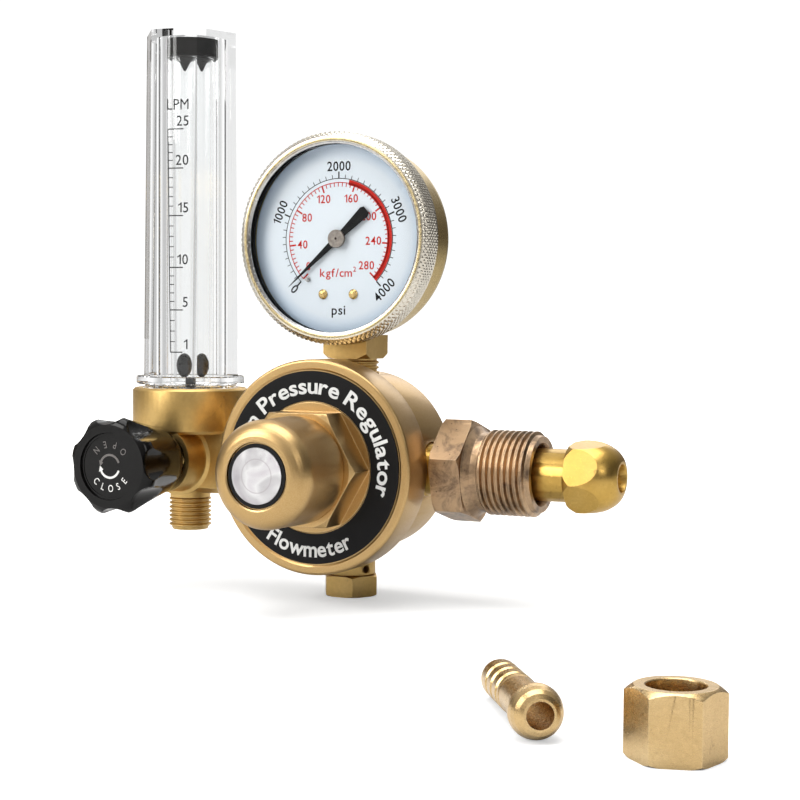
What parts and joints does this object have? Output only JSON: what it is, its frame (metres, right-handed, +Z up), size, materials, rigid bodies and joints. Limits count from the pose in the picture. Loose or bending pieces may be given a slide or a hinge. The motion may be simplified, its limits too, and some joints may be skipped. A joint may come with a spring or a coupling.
{
  "type": "gas regulator",
  "caption": "Brass gas regulator with a round bonnet, a cylinder pressure gauge, a tube flowmeter with a control knob, a threaded cylinder inlet and a loose hose nut and hose tail.",
  "frame": {"origin": "centre of the relief cap's flat bottom face, the lowest point of the regulator", "axes": "+Z up, -Y the front, which the bonnet, gauge and knob face, +X along the cylinder inlet, away from the body"},
  "size_m": [0.2253, 0.1674, 0.1704],
  "materials": {
    "satin_gold": "satin gold metallic paint",
    "machined_brass": "machined, bright yellow",
    "raw_brass": "raw, slightly pink, stained",
    "gauge_case_brass": "brushed olive gold",
    "nickel": "nickel plate",
    "steel": "plain",
    "spring_steel": "oil tempered",
    "black_plastic": "gloss moulded",
    "black_rubber": "matt",
    "label_black": "printed foil",
    "label_silver": "brushed foil",
    "dial_white": "white enamel",
    "pointer_black": "matt black",
    "clear_plastic": "clear moulded",
    "clear_lens": "clear lens",
    "bronze_filter": "sintered",
    "ptfe": "PTFE"
  },
  "bodies": {
    "root": {"regulator_body": "satin_gold", "bonnet": "satin_gold", "bonnet_label": "label_black", "nose_cap": "satin_gold", "nose_label_ring": "label_black", "nose_label": "label_silver", "main_spring": "spring_steel", "diaphragm": "black_rubber", "slip_ring": "steel", "valve_nozzle": "machined_brass", "poppet_spring": "spring_steel", "rear_plug": "machined_brass", "inlet_filter": "bronze_filter", "inlet_nipple": "machined_brass", "connector": "machined_brass", "gauge_socket": "machined_brass", "gauge_case": "gauge_case_brass", "gauge_bezel": "nickel", "gauge_lens": "clear_lens", "lens_gasket": "black_rubber", "gauge_dial": "dial_white", "hairspring": "machined_brass", "movement_plates": "machined_brass", "bourdon_tube": "machined_brass", "dial_screws": "machined_brass", "stop_pin": "steel", "relief_body": "machined_brass", "relief_cap": "machined_brass", "relief_spring": "spring_steel", "flow_body": "machined_brass", "tube_cover": "clear_plastic", "metering_tube": "clear_plastic", "top_stopper": "black_rubber", "bottom_seat": "black_rubber", "cover_o_ring": "black_rubber", "tube_o_ring": "black_rubber", "gland_nut": "machined_brass", "stem_packing": "ptfe"},
    "spring_button_body": {"spring_button": "steel"},
    "adjusting_screw_body": {"adjusting_screw": "steel"},
    "diaphragm_plate_body": {"diaphragm_plate": "machined_brass"},
    "poppet_body": {"valve_poppet": "steel"},
    "inlet_nut_body": {"inlet_nut": "raw_brass"},
    "pointer_body": {"gauge_pointer": "pointer_black", "pointer_shaft": "machined_brass"},
    "sector_body": {"sector_gear": "machined_brass"},
    "link_body": {"gauge_link": "steel"},
    "relief_poppet_body": {"relief_poppet": "machined_brass", "relief_seal": "black_rubber"},
    "float_body": {"float_ball": "black_rubber"},
    "stem_body": {"valve_stem": "steel"},
    "knob_body": {"flow_knob": "black_plastic", "knob_cap": "black_plastic", "knob_screw": "steel"},
    "hose_nut_body": {"hose_nut": "machined_brass"},
    "hose_barb_body": {"hose_barb": "machined_brass"}
  },
  "joints": [
    {"name": "stem_travel", "type": "slide", "parent": "root", "child": "stem_body", "axis": [0, -1, 0], "range_m": [0, 0.003]},
    {"name": "knob_turn", "type": "hinge", "parent": "stem_body", "child": "knob_body", "pos_m": [-0.057, -0.03, 0.0392], "axis": [0, -1, 0], "range_deg": [0, 1080]},
    {"name": "spring_button_travel", "type": "slide", "parent": "root", "child": "spring_button_body", "axis": [0, -1, 0], "range_m": [-0.003, 0.001]},
    {"name": "adjusting_screw_turn", "type": "hinge", "parent": "spring_button_body", "child": "adjusting_screw_body", "pos_m": [0, -0.047, 0.04], "axis": [0, -1, 0], "range_deg": [-1080, 360]},
    {"name": "diaphragm_travel", "type": "slide", "parent": "root", "child": "diaphragm_plate_body", "axis": [0, -1, 0], "range_m": [0, 0.0008], "deforming": ["main_spring", "diaphragm", "poppet_spring"]},
    {"name": "poppet_travel", "type": "slide", "parent": "root", "child": "poppet_body", "axis": [0, -1, 0], "range_m": [0, 0.0008]},
    {"name": "inlet_nut_spin", "type": "hinge", "parent": "root", "child": "inlet_nut_body", "pos_m": [0.046, 0, 0.0388], "axis": [1, 0, 0], "continuous": true},
    {"name": "sector_swing", "type": "hinge", "parent": "root", "child": "sector_body", "pos_m": [0, -0.003, 0.0925], "axis": [0, -1, 0], "range_deg": [0, 33.3], "deforming": ["bourdon_tube", "hairspring"]},
    {"name": "pointer_swing", "type": "hinge", "parent": "root", "child": "pointer_body", "pos_m": [0, -0.005, 0.106], "axis": [0, -1, 0], "range_deg": [-266.4, 0]},
    {"name": "link_swing", "type": "hinge", "parent": "sector_body", "child": "link_body", "pos_m": [-0.0052, -0.003, 0.0916], "axis": [0, -1, 0], "range_deg": [-33.3, 0]},
    {"name": "relief_travel", "type": "slide", "parent": "root", "child": "relief_poppet_body", "axis": [0, 0, -1], "range_m": [0, 0.0015], "deforming": ["relief_spring"]},
    {"name": "float_rise", "type": "slide", "parent": "root", "child": "float_body", "axis": [0, 0, 1], "range_m": [0, 0.085]},
    {"name": "hose_nut_lift", "type": "slide", "parent": "root", "child": "hose_nut_body", "axis": [0, 0, 1], "range_m": [0, 0.06]},
    {"name": "hose_barb_lift", "type": "slide", "parent": "root", "child": "hose_barb_body", "axis": [0, 0, 1], "range_m": [0, 0.06]}
  ],
  "couplings": [
    {"joint": "knob_turn", "follows": "stem_travel", "rad_per_m": 6283.2},
    {"joint": "adjusting_screw_turn", "follows": "spring_button_travel", "rad_per_m": 6283.2},
    {"joint": "poppet_travel", "follows": "diaphragm_travel", "ratio": 1},
    {"joint": "pointer_swing", "follows": "sector_swing", "ratio": -8},
    {"joint": "link_swing", "follows": "sector_swing", "ratio": -1}
  ]
}
